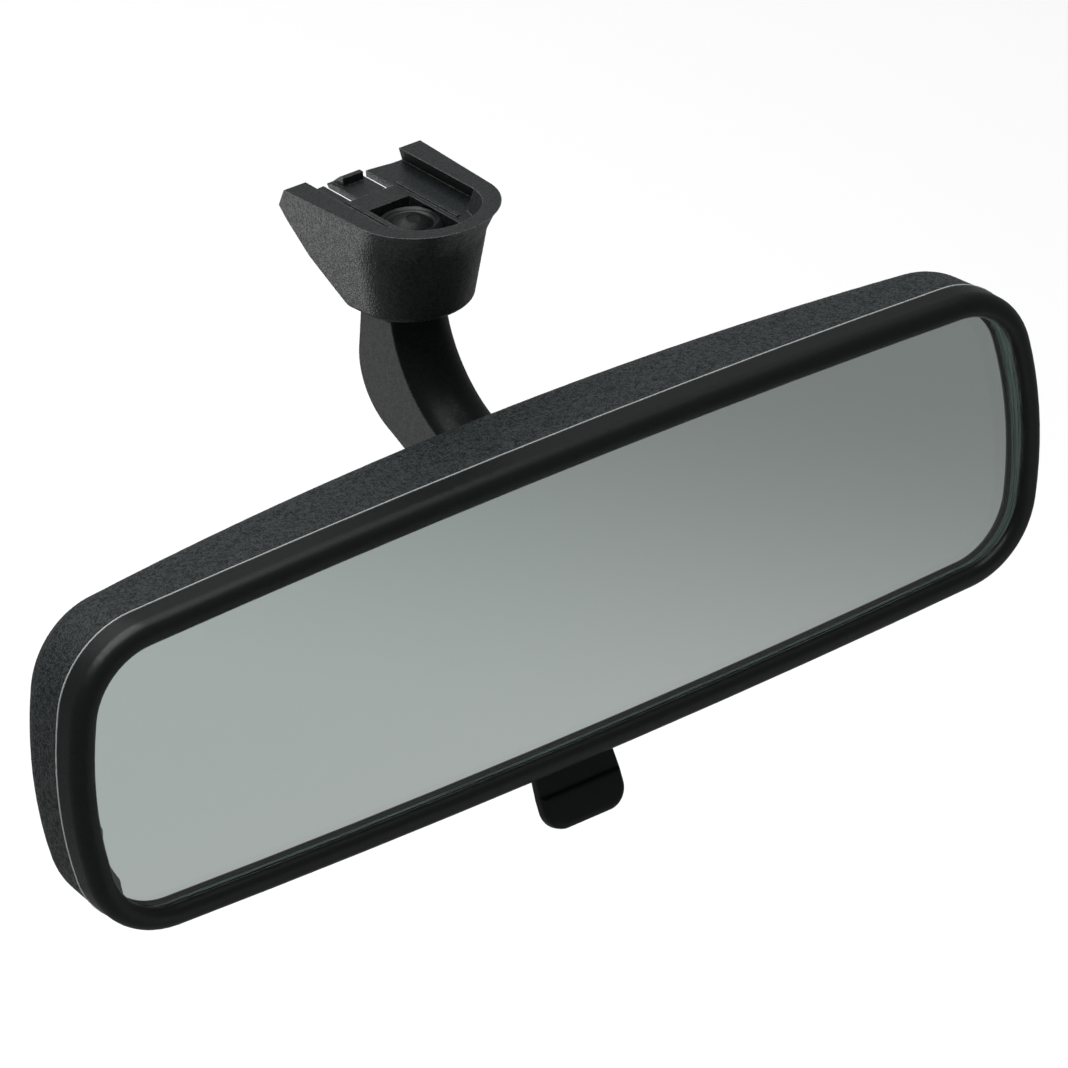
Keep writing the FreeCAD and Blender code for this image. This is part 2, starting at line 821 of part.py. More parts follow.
def make_shell():
    outer = shell_form("0", "parting_y")
    hollow = shell_form("shell_wall", "parting_y - 1")
    wall = cut(outer, hollow)
    tongue = cut(
        slab("tongue_out", "parting_y - rebate_depth + 0.1", "parting_y + 2"),
        slab("tongue_in", "parting_y - rebate_depth - 1", "parting_y + 3"),
    )
    back = "shell_depth + 2"
    ribs = []
    for middle in ("-outer_rib_x", "-inner_rib_x", "inner_rib_x", "outer_rib_x"):
        rib = bar(
            "YZ",
            (
                ("glass_top_y + coating_thick + pad_thick + 0.1", "opening_half_height + 2"),
                ("glass_bottom_y + coating_thick + pad_thick + 0.1", "-opening_half_height - 2"),
                (back, "-opening_half_height - 2"),
                (back, "opening_half_height + 2"),
            ),
            "rib_thick",
        )
        ribs.append(at(rib, middle))
    high = "opening_half_height + 3"
    low = "-opening_half_height - 3"
    ears = pair(("shell_ear_in", "shell_ear_out"), ("flip_y - 3.5", back), ("flip_z - 4", high))
    ears += pair(
        ("lever_ear_in", "lever_ear_out"),
        ("lever_y - lever_ear_round", "leaf_y - leaf_gap"),
        (low, "lever_z + lever_ear_round"),
    )
    ears += pair(("post_in", "post_out"), ("leaf_y + leaf_thick", back), (low, "lever_z + 3"))
    inside = common(fuse(*ribs, *ears), shell_form("0", "parting_y"))
    slot = block(
        ("-slot_half", "slot_half"),
        ("parting_y + 0.1", "slot_back"),
        ("-opening_half_height - 8", "lever_z - 0.6"),
    )
    hole = block(
        ("-arm_hole_half", "arm_hole_half"),
        ("arm_hole_front", "shell_depth + 5"),
        ("arm_hole_bottom", "arm_hole_top"),
    )
    bores = [
        rod("x", "pin_radius", "-shell_ear_out - 1", "shell_ear_out + 1", ("flip_y", "flip_z")),
        rod("x", "pin_radius", "-lever_ear_out - 1", "lever_ear_out + 1", ("lever_y", "lever_z")),
    ]
    for sign in ("-", ""):
        centre = (f"{sign}leaf_screw_x", "lever_z - leaf_screw_drop")
        bores.append(rod("y", "leaf_screw_radius", "leaf_y", "leaf_y + leaf_screw_length + 0.5", centre))
    return head_node("back_shell", cut(fuse(wall, tongue, inside), slot, hole, *bores))


def make_bezel():
    outer = slab("rim_width", "rim_front", "parting_y")
    front = number("rim_front")
    blank = rounded(outer, "rim_outer_round", lambda e: e.BoundBox.YMax < front + 0.01)
    frame = cut(
        blank,
        slab("0", "rim_front - 1", "parting_y + 1"),
        slab("glass_recess", "0", "parting_y + 1"),
        slab("rebate_grow", "parting_y - rebate_depth", "parting_y + 1"),
    )
    radii = [number(f"{arc}_radius") for arc in ("top_arc", "side_arc", "opening_corner")]

    def inner_edge(edge):
        if edge.BoundBox.YMax > front + 0.01:
            return False
        return min(abs(edge.Curve.Radius - radius) for radius in radii) < 0.05

    return head_node("bezel", rounded(frame, "rim_inner_round", inner_edge))


def wedge(grow, front_top, front_bottom, back_top, back_bottom):
    """A plate of the head's outline between two planes that lean with the prism's back."""
    high = "(opening_half_height + glass_grow)"
    section = bar(
        "YZ",
        (
            (front_top, f"{high}"),
            (front_bottom, f"-{high}"),
            (back_bottom, f"-{high}"),
            (back_top, f"{high}"),
        ),
        "3 * opening_half_length",
    )
    return common(slab(grow, "-1", "12"), section)


def make_glass():
    top = "glass_top_y"
    bottom = "glass_bottom_y"
    head_node("prism_glass", wedge("glass_grow", "glass_front", "glass_front", top, bottom))
    skin = " + coating_thick"
    head_node("silver_coating", wedge("glass_grow - 0.1", top, bottom, top + skin, bottom + skin))
    foam = skin + " + pad_thick"
    head_node(
        "backing_pad",
        wedge("glass_grow - pad_inset", top + skin, bottom + skin, top + foam, bottom + foam),
    )


# ---- the tilt mechanism ----


def in_head(item, end="lower"):
    """Move an object built about the lower ball into the head's own frame."""
    place = socket_place(end)
    place.Base = place.Base - FreeCAD.Vector(0, number("head_y"), number("head_z"))
    return moved(item, place)


def make_carrier():
    ball_y = "lower_ball_y - head_y"
    ball_z = "lower_ball_z - head_z"
    plate = block(
        ("-carrier_ear_out", "carrier_ear_out"),
        ("carrier_front", "carrier_back"),
        ("carrier_bottom", "carrier_top"),
    )
    ears = pair(
        ("carrier_ear_in", "carrier_ear_out"),
        ("carrier_front", "flip_y + knuckle_radius"),
        ("carrier_ear_foot", "flip_z"),
    )
    hinge = ("flip_y", "flip_z")
    knuckles = [
        rod("x", "knuckle_radius", "carrier_ear_in", "carrier_ear_out", hinge),
        rod("x", "knuckle_radius", "-carrier_ear_out", "-carrier_ear_in", hinge),
    ]
    fork_y = number("lever_y") + number("crank_length") * math.sin(math.radians(number("crank_angle")))
    fork = block(
        ("-fork_half", "fork_half"),
        (f"{fork_y} - fork_gap - fork_prong", f"{fork_y} + fork_gap + fork_prong"),
        ("fork_end", "fork_root"),
    )
    gap = block(
        ("-fork_half - 1", "fork_half + 1"),
        (f"{fork_y} - fork_gap", f"{fork_y} + fork_gap"),
        ("fork_end - 1", "fork_throat"),
    )
    housing = ball("housing_radius", 0, ball_y, ball_z)
    wide = ("housing_radius - 3", "lug_half")
    lugs = in_head(fuse(*pair(wide, ("-lug_width", "lug_width"), ("-lug_depth", "ring_start"))))
    seat = ball(SOCKET, 0, ball_y, ball_z)
    mouth = in_head(rod("z", "lug_half + 1", "ring_start", "ring_start + housing_radius"))
    screw_bores = [
        in_head(rod("z", "screw_radius", "screw_bore_end", "ring_end", (f"{sign}lug_screw_x", 0)))
        for sign in ("-", "")
    ]
    pins = rod("x", "pin_bore_radius", "-shell_ear_out", "shell_ear_out", hinge)
    room = ball("housing_radius - 0.5", 0, ball_y, ball_z)
    socket = cut(fuse(housing, lugs), mouth)
    solid = fuse(cut(fuse(plate, fork), room), socket, *ears, *knuckles)
    return head_node("tilt_carrier", cut(solid, seat, gap, pins, *screw_bores))


def make_ring():
    ring = fuse(
        rod("z", "ring_outer", "ring_start", "ring_end"),
        *pair(("ring_inner + 1", "lug_half"), ("-lug_width", "lug_width"), ("ring_start", "ring_end")),
    )
    above = "ring_end + 1"
    bores = [rod("z", "screw_radius", 0, above, (f"{sign}lug_screw_x", 0)) for sign in ("-", "")]
    solid = cut(ring, rod("z", "ring_inner", 0, above), ball(SOCKET), *bores)
    node("retaining_ring", socketed(solid, "lower"))
    screws = []
    for sign in ("-", ""):
        centre = (f"{sign}lug_screw_x", 0)
        head = "ring_end + screw_head_height"
        screws.append(rod("z", "screw_radius", "screw_end", "ring_end", centre))
        screws.append(rod("z", "screw_radius + screw_head_grow", "ring_end", head, centre))
    node("ring_screws", socketed(fuse(*screws), "lower"))
    pad = shell_zone(LINER_IN, f"{LINER_IN} + pad_wall", "pad_start", "pad_end")
    node("pressure_pad", socketed(pad, "lower"))
    inside = "ball_radius + washer_start_gap"
    spring = shell_zone(inside, f"{inside} + washer_wall", "pad_start", "washer_end")
    node("pressure_spring", socketed(spring, "lower"))


def make_pins():
    reach = ("carrier_ear_in", "shell_ear_out")
    centre = ("flip_y", "flip_z")
    flips = fuse(
        rod("x", "pin_radius", *reach, centre),
        rod("x", "pin_radius", f"-{reach[1]}", f"-{reach[0]}", centre),
    )
    head_node("flip_pins", flips)
    centre = ("head_y + lever_y", "head_z + lever_z")
    node("lever_pin", rod("x", "pin_radius", "-lever_ear_out", "lever_ear_out", centre))


def make_lever():
    """The lever's hub, two crank webs and the tab that hangs below the bezel."""
    hub = rod("x", "hub_radius", "-hub_half", "hub_half", ("lever_y", "lever_z"))
    angle = math.radians(number("crank_angle"))
    pin_y = number("lever_y") + number("crank_length") * math.sin(angle)
    pin_z = number("lever_z") + number("crank_length") * math.cos(angle)
    tilt = FreeCAD.Placement(
        FreeCAD.Vector(0, number("lever_y"), number("lever_z")),
        FreeCAD.Rotation(AXES["x"], -number("crank_angle")),
    )
    across = ("-crank_web_half", "crank_web_half")
    webs = pair(("crank_web_in", "crank_web_out"), across, (0, "crank_length"))
    webs = [moved(web, tilt) for web in webs]
    for low, high in (("-crank_web_out", "-crank_web_in"), ("crank_web_in", "crank_web_out")):
        webs.append(rod("x", "crank_eye_radius", low, high, (pin_y, pin_z)))
    middle = "(tab_front + tab_thick / 2)"
    flare = (
        ("-tab_half", "lever_z"),
        ("tab_half", "lever_z"),
        ("grip_half", "grip_top - 1"),
        ("-grip_half", "grip_top - 1"),
    )
    plate = at(bar("XZ", flare, "tab_thick"), 0, middle)
    grip = block(
        ("-grip_half", "grip_half"),
        (f"{middle} - grip_thick / 2", f"{middle} + grip_thick / 2"),
        ("grip_end", "grip_top"),
    )
    end = number("grip_end")

    def corner(edge):
        box = edge.BoundBox
        return box.YMax - box.YMin > 1 and box.ZMax < end + 0.1 and box.XMax - box.XMin < 0.1

    soft = rounded(grip, "grip_corner_round", corner)

    def rim(edge):
        box = edge.BoundBox
        return box.YMax - box.YMin < 0.01

    soft = rounded(soft, "grip_edge_round", rim)
    lean = FreeCAD.Placement(
        FreeCAD.Vector(),
        FreeCAD.Rotation(AXES["x"], -number("tab_lean")),
        FreeCAD.Vector(0, number(middle), number("tab_pivot_z")),
    )
    body = fuse(hub, *webs, moved(fuse(plate, soft), lean))
    bores = [
        rod("x", "pin_bore_radius", "-lever_ear_out", "lever_ear_out", ("lever_y", "lever_z")),
        rod("x", "crank_pin_radius", "-hub_half", "hub_half", (pin_y, pin_z)),
    ]
    head_node("toggle_lever", cut(body, *bores))
    centre = (f"head_y + {pin_y}", f"head_z + {pin_z}")
    node("crank_pin", rod("x", "crank_pin_radius", "-crank_web_out", "crank_web_out", centre))


def make_leaf():
    leaf = block(
        ("-leaf_half", "leaf_half"),
        ("leaf_y", "leaf_y + leaf_thick"),
        ("lever_z - leaf_below", "lever_z + leaf_above"),
    )
    bores = []
    screws = []
    for sign in ("-", ""):
        centre = (f"{sign}leaf_screw_x", "lever_z - leaf_screw_drop")
        bores.append(rod("y", "leaf_screw_radius", "leaf_y - 1", "leaf_y + 2", centre))
        screws.append(rod("y", "leaf_screw_radius", "leaf_y", "leaf_y + leaf_screw_length", centre))
        screws.append(rod("y", "leaf_head_radius", "leaf_y - leaf_head_height", "leaf_y", centre))
    head_node("leaf_spring", cut(leaf, *bores))
    head_node("leaf_screws", fuse(*screws))


make_shoe()
make_catch()
make_seats()
make_stud("upper")
make_stud("lower")
make_arm()
make_shell()
make_bezel()
make_glass()
make_carrier()
make_ring()
make_pins()
make_lever()
make_leaf()
doc.removeObject("Scratch")
doc.recompute()

faults = [item.Name for item in doc.Objects if "Invalid" in item.State or "Error" in item.State]
for label, item in NODES.items():
    if item.Shape.isNull() or not item.Shape.isValid() or item.Shape.Volume <= 0:
        faults.append(label)
if faults:
    raise RuntimeError("failed objects: " + ", ".join(faults))

os.makedirs("parts", exist_ok=True)
for label, item in NODES.items():
    item.Shape.exportStep(f"parts/{label}.step")
    box = item.Shape.BoundBox
    print(label, len(item.Shape.Solids), round(item.Shape.Volume, 1),
          [round(v, 2) for v in (box.XMin, box.XMax, box.YMin, box.YMax, box.ZMin, box.ZMax)])
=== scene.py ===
import math

import bmesh
import bpy
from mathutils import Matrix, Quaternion, Vector


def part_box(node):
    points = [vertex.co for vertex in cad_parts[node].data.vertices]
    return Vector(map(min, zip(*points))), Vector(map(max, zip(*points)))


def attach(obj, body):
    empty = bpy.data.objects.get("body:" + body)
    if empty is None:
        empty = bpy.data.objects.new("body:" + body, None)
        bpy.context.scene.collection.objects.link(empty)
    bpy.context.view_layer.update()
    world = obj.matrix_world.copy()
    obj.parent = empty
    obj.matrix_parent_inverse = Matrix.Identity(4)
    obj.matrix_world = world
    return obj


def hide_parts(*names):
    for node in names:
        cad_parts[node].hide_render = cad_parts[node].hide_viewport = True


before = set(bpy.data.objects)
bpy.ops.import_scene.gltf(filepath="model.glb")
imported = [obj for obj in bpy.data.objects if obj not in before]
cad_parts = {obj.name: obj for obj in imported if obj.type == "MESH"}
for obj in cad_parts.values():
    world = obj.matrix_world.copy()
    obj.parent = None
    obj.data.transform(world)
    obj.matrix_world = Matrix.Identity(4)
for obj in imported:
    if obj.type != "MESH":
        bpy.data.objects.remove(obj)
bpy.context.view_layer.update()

# An interior rearview mirror. Metres, in the frame of the CAD: the origin is on the shoe's rail
# tops, the glass faces -Y and its length lies along X.

MM = 0.001

# ---- named values ----

# The camera, whose lens and sensor are in millimetres.
CAMERA_AT = Vector((-0.6506, -1.0075, 0.5730))
CAMERA_AIM = Vector((0.0128, -0.0117, -0.0734))
CAMERA_ROLL = math.radians(-4.5)
CAMERA_LENS = 231.18
CAMERA_SENSOR = 36
CAMERA_REACH = 50

# The stage and its lights.
FLOOR_Z = -0.42
FLOOR_SIZE = 8
FLOOR_COLOUR = (0.90, 0.90, 0.90, 1)
BACKDROP_RADIUS = 3.0
BACKDROP_GLOW = 0.9
WORLD_GLOW = 0.22

OVERHEAD_AT = (-0.7, 0.7, 2.6)
OVERHEAD_AIM = (-0.7, 0.7, 0)
OVERHEAD_SIZE = (3.2, 3.2)
OVERHEAD_POWER = 132
SHEEN_AT = (-0.52, 0.72, -0.41)
SHEEN_AIM = (0, 0, -0.05)
SHEEN_SIZE = (0.6, 0.6)
SHEEN_POWER = 1.9

# The grey card: its tone runs from dark to light over CARD_SPAN, slantwise across the card.
CARD_SIZE = 0.42
CARD_AWAY = 0.36
CARD_DARK = 0.22
CARD_LIGHT = 0.44
CARD_SLANT = 3.2
CARD_SPAN = (-0.36, 0.01)
CARD_TINT = (0.98, 1.0, 1.0, 1)

# The glass and its silver. The silver is flaked along an arc round the glass's left end.
GLASS_ARRIS = 0.35 * MM
GLASS_COLOUR = (0.985, 1.0, 0.992, 1)
GLASS_IOR = 1.52
GLASS_DEPTH_COLOUR = (0.45, 0.93, 0.76, 1)
GLASS_DEPTH_DENSITY = 12
GROUND_COLOUR = (0.50, 0.66, 0.60)
GROUND_STREAKS = (60, 2600, 60)
SIDE_NORMAL = 0.5
SILVER_COLOUR = (0.93, 0.935, 0.935, 1)
BARE_COLOUR = (0.01, 0.01, 0.01, 1)
COATING_GAP = 0.02 * MM
END_ARC = 82.6 * MM
FLAKE_REACH = 2.25 * MM
FLAKE_DEPTH = 3.4 * MM
FLAKE_SCALE = 130

# Moulded plastic and metal. Over GRAIN_SPAN of the grain's height colour and gloss change, the
# colour partly grain tone and partly painted shade in hollows and painted glints on tops, and over
# RUB_AND_HIGHLIGHT_SPAN of the softened normal's cosine an edge goes from plain to worn and lit by a
# painted highlight.
GRAIN_SPAN = (0.7, 1.2)
GRAIN_SMOOTHNESS = 0.6
CLOUD_SCALE = 0.35
RUB_AND_HIGHLIGHT_SPAN = (0.99, 0.85)
# Lighter edge colour: partly worn plastic, partly a painted highlight.
RUBBED_AND_HIGHLIGHT_COLOUR = (0.16, 0.17, 0.17, 1)
METAL_STREAKS = (300, 6000, 6000)
METAL_SHADE = (0.85, 1.15)

# Meshes: how near two points are joined, which edges and faces count as what, and the bead.
WELD_GAP = 0.004 * MM
SLIVER_LENGTH = 0.001 * MM
FLAT_ANGLE = math.radians(0.4)
RIM_ANGLE = math.radians(45)
RING_SLACK = 0.01 * MM
BACK_FACING = 0.9
WALL_FACING = 0.5
BEAD_RADIUS = 0.18 * MM

# ---- camera, floor and light ----


def make_camera():
    data = bpy.data.cameras.new("camera")
    data.lens = CAMERA_LENS
    data.sensor_width = CAMERA_SENSOR
    data.clip_end = CAMERA_REACH
    camera = bpy.data.objects.new("camera", data)
    bpy.context.scene.collection.objects.link(camera)
    look = (CAMERA_AIM - CAMERA_AT).to_track_quat("-Z", "Y")
    camera.rotation_mode = "QUATERNION"
    camera.rotation_quaternion = look @ Quaternion((0, 0, 1), CAMERA_ROLL)
    camera.location = CAMERA_AT
    bpy.context.scene.camera = camera


def add_light(name, at, aim, size, power):
    data = bpy.data.lights.new(name, "AREA")
    data.shape = "RECTANGLE"
    data.size, data.size_y = size
    data.energy = power
    light = bpy.data.objects.new(name, data)
    bpy.context.scene.collection.objects.link(light)
    light.location = at
    light.rotation_euler = (Vector(aim) - Vector(at)).to_track_quat("-Z", "Y").to_euler()
    return light


def make_sheen(names):
    """A low light behind on the left, which only the named pieces show, in their gloss."""
    sheen = add_light("sheen", SHEEN_AT, SHEEN_AIM, SHEEN_SIZE, SHEEN_POWER)
    sheen.visible_diffuse = False
    sheen.visible_camera = False
    lit = bpy.data.collections.new("sheen_lit")
    for name in names:
        lit.objects.link(bpy.data.objects[name])
    sheen.light_linking.receiver_collection = lit


def new_material(name):
    material = bpy.data.materials.new(name)
    material.use_nodes = True
    nodes = material.node_tree.nodes
    nodes.clear()
    out = nodes.new("ShaderNodeOutputMaterial")
    return material, nodes, material.node_tree.links, out


def set_range(node, source, target):
    """Map Range: the values of source, low and high, become those of target."""
    node.inputs["From Min"].default_value, node.inputs["From Max"].default_value = source
    node.inputs["To Min"].default_value, node.inputs["To Max"].default_value = target


def make_floor():
    """The pale floor, which reflections don't show."""
    material, nodes, links, out = new_material("floor_paint")
    shader = nodes.new("ShaderNodeBsdfPrincipled")
    shader.inputs["Base Color"].default_value = FLOOR_COLOUR
    shader.inputs["Roughness"].default_value = 0.9
    shader.inputs["Specular IOR Level"].default_value = 0.1
    links.new(shader.outputs[0], out.inputs["Surface"])
    bpy.ops.mesh.primitive_plane_add(size=FLOOR_SIZE, location=(0, 0, FLOOR_Z))
    floor = bpy.context.object
    floor.name = "floor"
    floor.data.materials.append(material)
    floor.visible_glossy = False


def make_backdrop():
    """A pale dome round the whole stage, which only the camera sees."""
    material, nodes, links, out = new_material("backdrop_white")
    glow = nodes.new("ShaderNodeEmission")
    glow.inputs["Strength"].default_value = BACKDROP_GLOW
    links.new(glow.outputs[0], out.inputs["Surface"])
    bpy.ops.mesh.primitive_uv_sphere_add(segments=48, ring_count=24, radius=BACKDROP_RADIUS)
    dome = bpy.context.object
    dome.name = "backdrop"
    dome.data.materials.append(material)
    dome.visible_diffuse = False
    dome.visible_glossy = False
    dome.visible_transmission = False
    dome.visible_shadow = False


def make_card():
    """A grey card that tones the mirror. It shows in every glossy or clear surface, not directly."""
    material, nodes, links, out = new_material("card_grey")
    place = nodes.new("ShaderNodeTexCoord")
    across = nodes.new("ShaderNodeVectorMath")
    across.operation = "DOT_PRODUCT"
    across.inputs[1].default_value = (1, -CARD_SLANT, 0)
    links.new(place.outputs["Object"], across.inputs[0])
    tone = nodes.new("ShaderNodeMapRange")
    tone.interpolation_type = "SMOOTHSTEP"
    set_range(tone, CARD_SPAN, (CARD_DARK, CARD_LIGHT))
    links.new(across.outputs["Value"], tone.inputs["Value"])
    glow = nodes.new("ShaderNodeEmission")
    glow.inputs["Color"].default_value = CARD_TINT
    links.new(tone.outputs["Result"], glow.inputs["Strength"])
    links.new(glow.outputs[0], out.inputs["Surface"])
    look = (CAMERA_AIM - CAMERA_AT).normalized()
    bounce = Vector((look.x, -look.y, look.z))
    centre = (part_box("prism_glass")[0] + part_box("prism_glass")[1]) / 2
    bpy.ops.mesh.primitive_plane_add(size=CARD_SIZE, location=centre + bounce * CARD_AWAY)
    card = bpy.context.object
    card.name = "card"
    card.rotation_euler = (-bounce).to_track_quat("Z", "Y").to_euler()
    card.data.materials.append(material)
    card.visible_camera = False
    card.visible_diffuse = False
    card.visible_shadow = False


def make_world():
    world = bpy.data.worlds.new("studio")
    bpy.context.scene.world = world
    world.use_nodes = True
    back = world.node_tree.nodes["Background"]
    back.inputs["Color"].default_value = (1, 1, 1, 1)
    back.inputs["Strength"].default_value = WORLD_GLOW


# ---- materials ----


def plastic(name, colour, roughness, grain, depth, speckle, wear_and_highlight, shine=0.3, soft=0.3 * MM):
    """Moulded plastic. grain is a pebble's size, depth its height and soft its edges' radius.

    speckle, from 0, is how much colour (grain tone with painted shade and glints) and gloss vary;
    wear_and_highlight, from 0, how far edges are lightened, partly worn and partly a painted
    highlight.
    """
    material, nodes, links, out = new_material(name)
    shader = nodes.new("ShaderNodeBsdfPrincipled")
    shader.inputs["Specular IOR Level"].default_value = shine
    links.new(shader.outputs[0], out.inputs["Surface"])
    place = nodes.new("ShaderNodeTexCoord")
    pebbles = nodes.new("ShaderNodeTexVoronoi")
    pebbles.feature = "SMOOTH_F1"
    pebbles.inputs["Scale"].default_value = 1 / grain
    pebbles.inputs["Smoothness"].default_value = GRAIN_SMOOTHNESS
    links.new(place.outputs["Object"], pebbles.inputs["Vector"])
    cloud = nodes.new("ShaderNodeTexNoise")
    cloud.inputs["Scale"].default_value = CLOUD_SCALE / grain
    cloud.inputs["Detail"].default_value = 4
    links.new(place.outputs["Object"], cloud.inputs["Vector"])
    height = nodes.new("ShaderNodeMath")
    height.operation = "ADD"
    links.new(pebbles.outputs["Distance"], height.inputs[0])
    links.new(cloud.outputs["Fac"], height.inputs[1])
    soften = nodes.new("ShaderNodeBevel")
    soften.samples = 4
    soften.inputs["Radius"].default_value = soft
    bump = nodes.new("ShaderNodeBump")
    bump.inputs["Distance"].default_value = depth
    bump.inputs["Strength"].default_value = 1.0
    links.new(height.outputs[0], bump.inputs["Height"])
    links.new(soften.outputs["Normal"], bump.inputs["Normal"])
    links.new(bump.outputs["Normal"], shader.inputs["Normal"])
    # Colour: grain tone, with painted shade darkening the grain's hollows and painted glints
    # lightening its tops; patches differ a little.
    tone = nodes.new("ShaderNodeMapRange")
    set_range(tone, GRAIN_SPAN, (1 - speckle, 1 + speckle))
    links.new(height.outputs[0], tone.inputs["Value"])
    tint = nodes.new("ShaderNodeVectorMath")
    tint.operation = "SCALE"
    tint.inputs[0].default_value = colour
    links.new(tone.outputs["Result"], tint.inputs["Scale"])
    # Edges: where the softened normal leaves the face's own, the plastic is lighter, partly worn and
    # partly a painted highlight.
    geometry = nodes.new("ShaderNodeNewGeometry")
    along = nodes.new("ShaderNodeVectorMath")
    along.operation = "DOT_PRODUCT"
    links.new(geometry.outputs["Normal"], along.inputs[0])
    links.new(soften.outputs["Normal"], along.inputs[1])
    rub_and_highlight = nodes.new("ShaderNodeMapRange")
    set_range(rub_and_highlight, RUB_AND_HIGHLIGHT_SPAN, (0, wear_and_highlight))
    links.new(along.outputs["Value"], rub_and_highlight.inputs["Value"])
    mix = nodes.new("ShaderNodeMix")
    mix.data_type = "RGBA"
    mix.inputs["B"].default_value = RUBBED_AND_HIGHLIGHT_COLOUR
    patchy = nodes.new("ShaderNodeMath")
    patchy.operation = "MULTIPLY"
    links.new(rub_and_highlight.outputs["Result"], patchy.inputs[0])
    links.new(tone.outputs["Result"], patchy.inputs[1])
    links.new(patchy.outputs[0], mix.inputs["Factor"])
    links.new(tint.outputs[0], mix.inputs["A"])
    links.new(mix.outputs["Result"], shader.inputs["Base Color"])
    gloss = nodes.new("ShaderNodeMapRange")
    spread = 0.03 + 0.07 * speckle
    set_range(gloss, GRAIN_SPAN, (roughness + spread, roughness - spread))
    links.new(height.outputs[0], gloss.inputs["Value"])
    links.new(gloss.outputs["Result"], shader.inputs["Roughness"])
    return material


def metal(name, colour, roughness, streak):
    """Steel with fine drawn streaks along X."""
    material, nodes, links, out = new_material(name)
    shader = nodes.new("ShaderNodeBsdfPrincipled")
    shader.inputs["Metallic"].default_value = 1
    links.new(shader.outputs[0], out.inputs["Surface"])
    place = nodes.new("ShaderNodeTexCoord")
    stretch = nodes.new("ShaderNodeMapping")
    stretch.inputs["Scale"].default_value = METAL_STREAKS
    links.new(place.outputs["Object"], stretch.inputs["Vector"])
    noise = nodes.new("ShaderNodeTexNoise")
    noise.inputs["Scale"].default_value = 1
    noise.inputs["Detail"].default_value = 3
    links.new(stretch.outputs[0], noise.inputs["Vector"])
    rough = nodes.new("ShaderNodeMapRange")
    set_range(rough, (0, 1), (roughness - streak, roughness + streak))
    links.new(noise.outputs["Fac"], rough.inputs["Value"])
    links.new(rough.outputs["Result"], shader.inputs["Roughness"])
    tone = nodes.new("ShaderNodeVectorMath")
    tone.operation = "SCALE"
    tone.inputs[0].default_value = colour
    shade = nodes.new("ShaderNodeMapRange")
    set_range(shade, (0, 1), METAL_SHADE)
    links.new(noise.outputs["Fac"], shade.inputs["Value"])
    links.new(shade.outputs["Result"], tone.inputs["Scale"])
    links.new(tone.outputs[0], shader.inputs["Base Color"])
    return material


def mirror_glass():
    """Clear glass, green through its depth."""
    material, nodes, links, out = new_material("prism_glass")
    shader = nodes.new("ShaderNodeBsdfPrincipled")
    shader.inputs["Base Color"].default_value = GLASS_COLOUR
    shader.inputs["Roughness"].default_value = 0.0
    shader.inputs["IOR"].default_value = GLASS_IOR
    shader.inputs["Transmission Weight"].default_value = 1.0
    links.new(shader.outputs[0], out.inputs["Surface"])
    tint = nodes.new("ShaderNodeVolumeAbsorption")
    tint.inputs["Color"].default_value = GLASS_DEPTH_COLOUR
    tint.inputs["Density"].default_value = GLASS_DEPTH_DENSITY
    links.new(tint.outputs[0], out.inputs["Volume"])
    return material


def ground_edge():
    """The glass's cut edge, ground matt and pale green."""
    material, nodes, links, out = new_material("ground_edge")
    shader = nodes.new("ShaderNodeBsdfPrincipled")
    shader.inputs["Roughness"].default_value = 0.6
    shader.inputs["Specular IOR Level"].default_value = 0.2
    links.new(shader.outputs[0], out.inputs["Surface"])
    place = nodes.new("ShaderNodeTexCoord")
    stretch = nodes.new("ShaderNodeMapping")
    stretch.inputs["Scale"].default_value = GROUND_STREAKS
    links.new(place.outputs["Object"], stretch.inputs["Vector"])
    noise = nodes.new("ShaderNodeTexNoise")
    noise.inputs["Scale"].default_value = 1
    noise.inputs["Detail"].default_value = 2
    links.new(stretch.outputs[0], noise.inputs["Vector"])
    ramp = nodes.new("ShaderNodeMapRange")
    set_range(ramp, (0.35, 0.65), (0.25, 1.0))
    links.new(noise.outputs["Fac"], ramp.inputs["Value"])
    tint = nodes.new("ShaderNodeVectorMath")
    tint.operation = "SCALE"
    tint.inputs[0].default_value = GROUND_COLOUR
    links.new(ramp.outputs["Result"], tint.inputs["Scale"])
    links.new(tint.outputs[0], shader.inputs["Base Color"])
    return material


